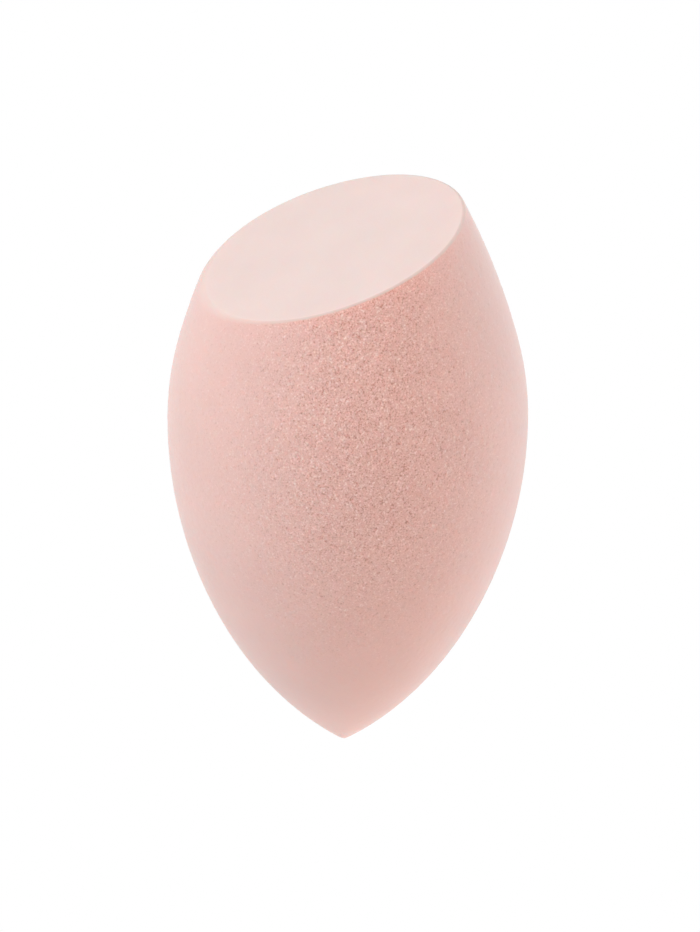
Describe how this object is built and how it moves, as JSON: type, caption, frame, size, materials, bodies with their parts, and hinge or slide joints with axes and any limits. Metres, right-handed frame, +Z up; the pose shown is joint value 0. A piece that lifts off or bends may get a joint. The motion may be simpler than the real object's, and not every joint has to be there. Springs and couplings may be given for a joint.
{
  "type": "makeup sponge",
  "caption": "Drop-shaped foam makeup sponge with a blunt point for small areas and a slanted flat face for dabbing and blending.",
  "frame": {"origin": "middle of the slanted flat face, which the sponge stands on", "axes": "+Z up, square to the flat face, on the point's side; +X towards the long side of the slant; the XZ plane is the sponge's plane of symmetry, and the drop's own axis leans 19 degrees from +Z towards -X"},
  "size_m": [0.0425, 0.04, 0.057],
  "materials": {
    "foam": "matte"
  },
  "bodies": {
    "root": {"foam_body": "foam"}
  },
  "joints": []
}
